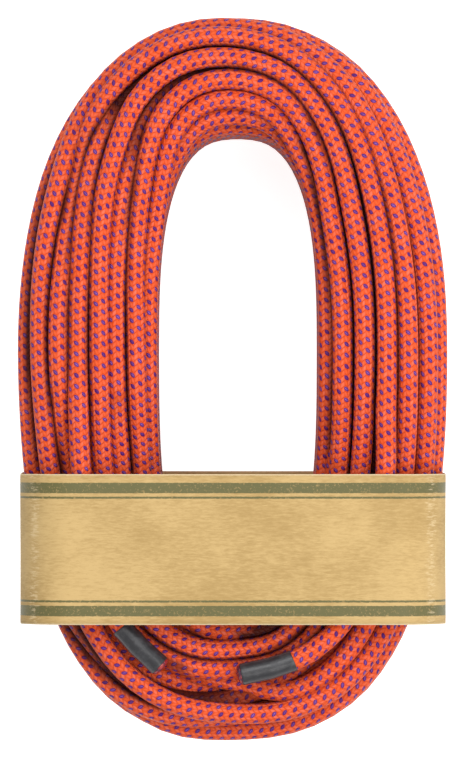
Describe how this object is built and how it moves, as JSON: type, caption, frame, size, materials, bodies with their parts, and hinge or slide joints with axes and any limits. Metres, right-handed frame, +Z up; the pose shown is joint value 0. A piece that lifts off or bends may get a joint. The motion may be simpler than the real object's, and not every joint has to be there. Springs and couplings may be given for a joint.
{
  "type": "dynamic climbing rope",
  "caption": "Kernmantle dynamic climbing rope in a flat oval hank, orange-red braided sheath with violet flecks, legs held by a plain paperboard band that slides off.",
  "frame": {"origin": "centre of the underside, on the surface the hank lies on", "axes": "+Y from the foot of the oval towards its arch, +Z up through the hank's depth, +X to the right seen from above with the arch away"},
  "size_m": [0.206, 0.3482, 0.137],
  "materials": {
    "rope_sheath": "braided nylon, orange-red with violet flecks",
    "core_yarn": "twisted white nylon",
    "tracer_tape": "thin film",
    "shrink_sleeve": "satin",
    "melted_end": "melted nylon",
    "paperboard": "uncoated board",
    "clear_tape": "clear gloss film"
  },
  "bodies": {
    "rope": {"rope_hank": "rope_sheath", "tail_a_sheath": "rope_sheath", "tail_a_core_strands": "core_yarn", "tail_a_tracer_tape": "tracer_tape", "end_a_sleeve": "shrink_sleeve", "end_a_seal": "melted_end", "tail_b_sheath": "rope_sheath", "tail_b_core_strands": "core_yarn", "tail_b_tracer_tape": "tracer_tape", "end_b_sleeve": "shrink_sleeve", "end_b_seal": "melted_end"},
    "band": {"retail_band": "paperboard", "band_seam_tape": "clear_tape"}
  },
  "joints": [
    {"name": "band_slide", "type": "slide", "parent": "rope", "child": "band", "axis": [0, -1, 0], "range_m": [0, 0.14]}
  ]
}
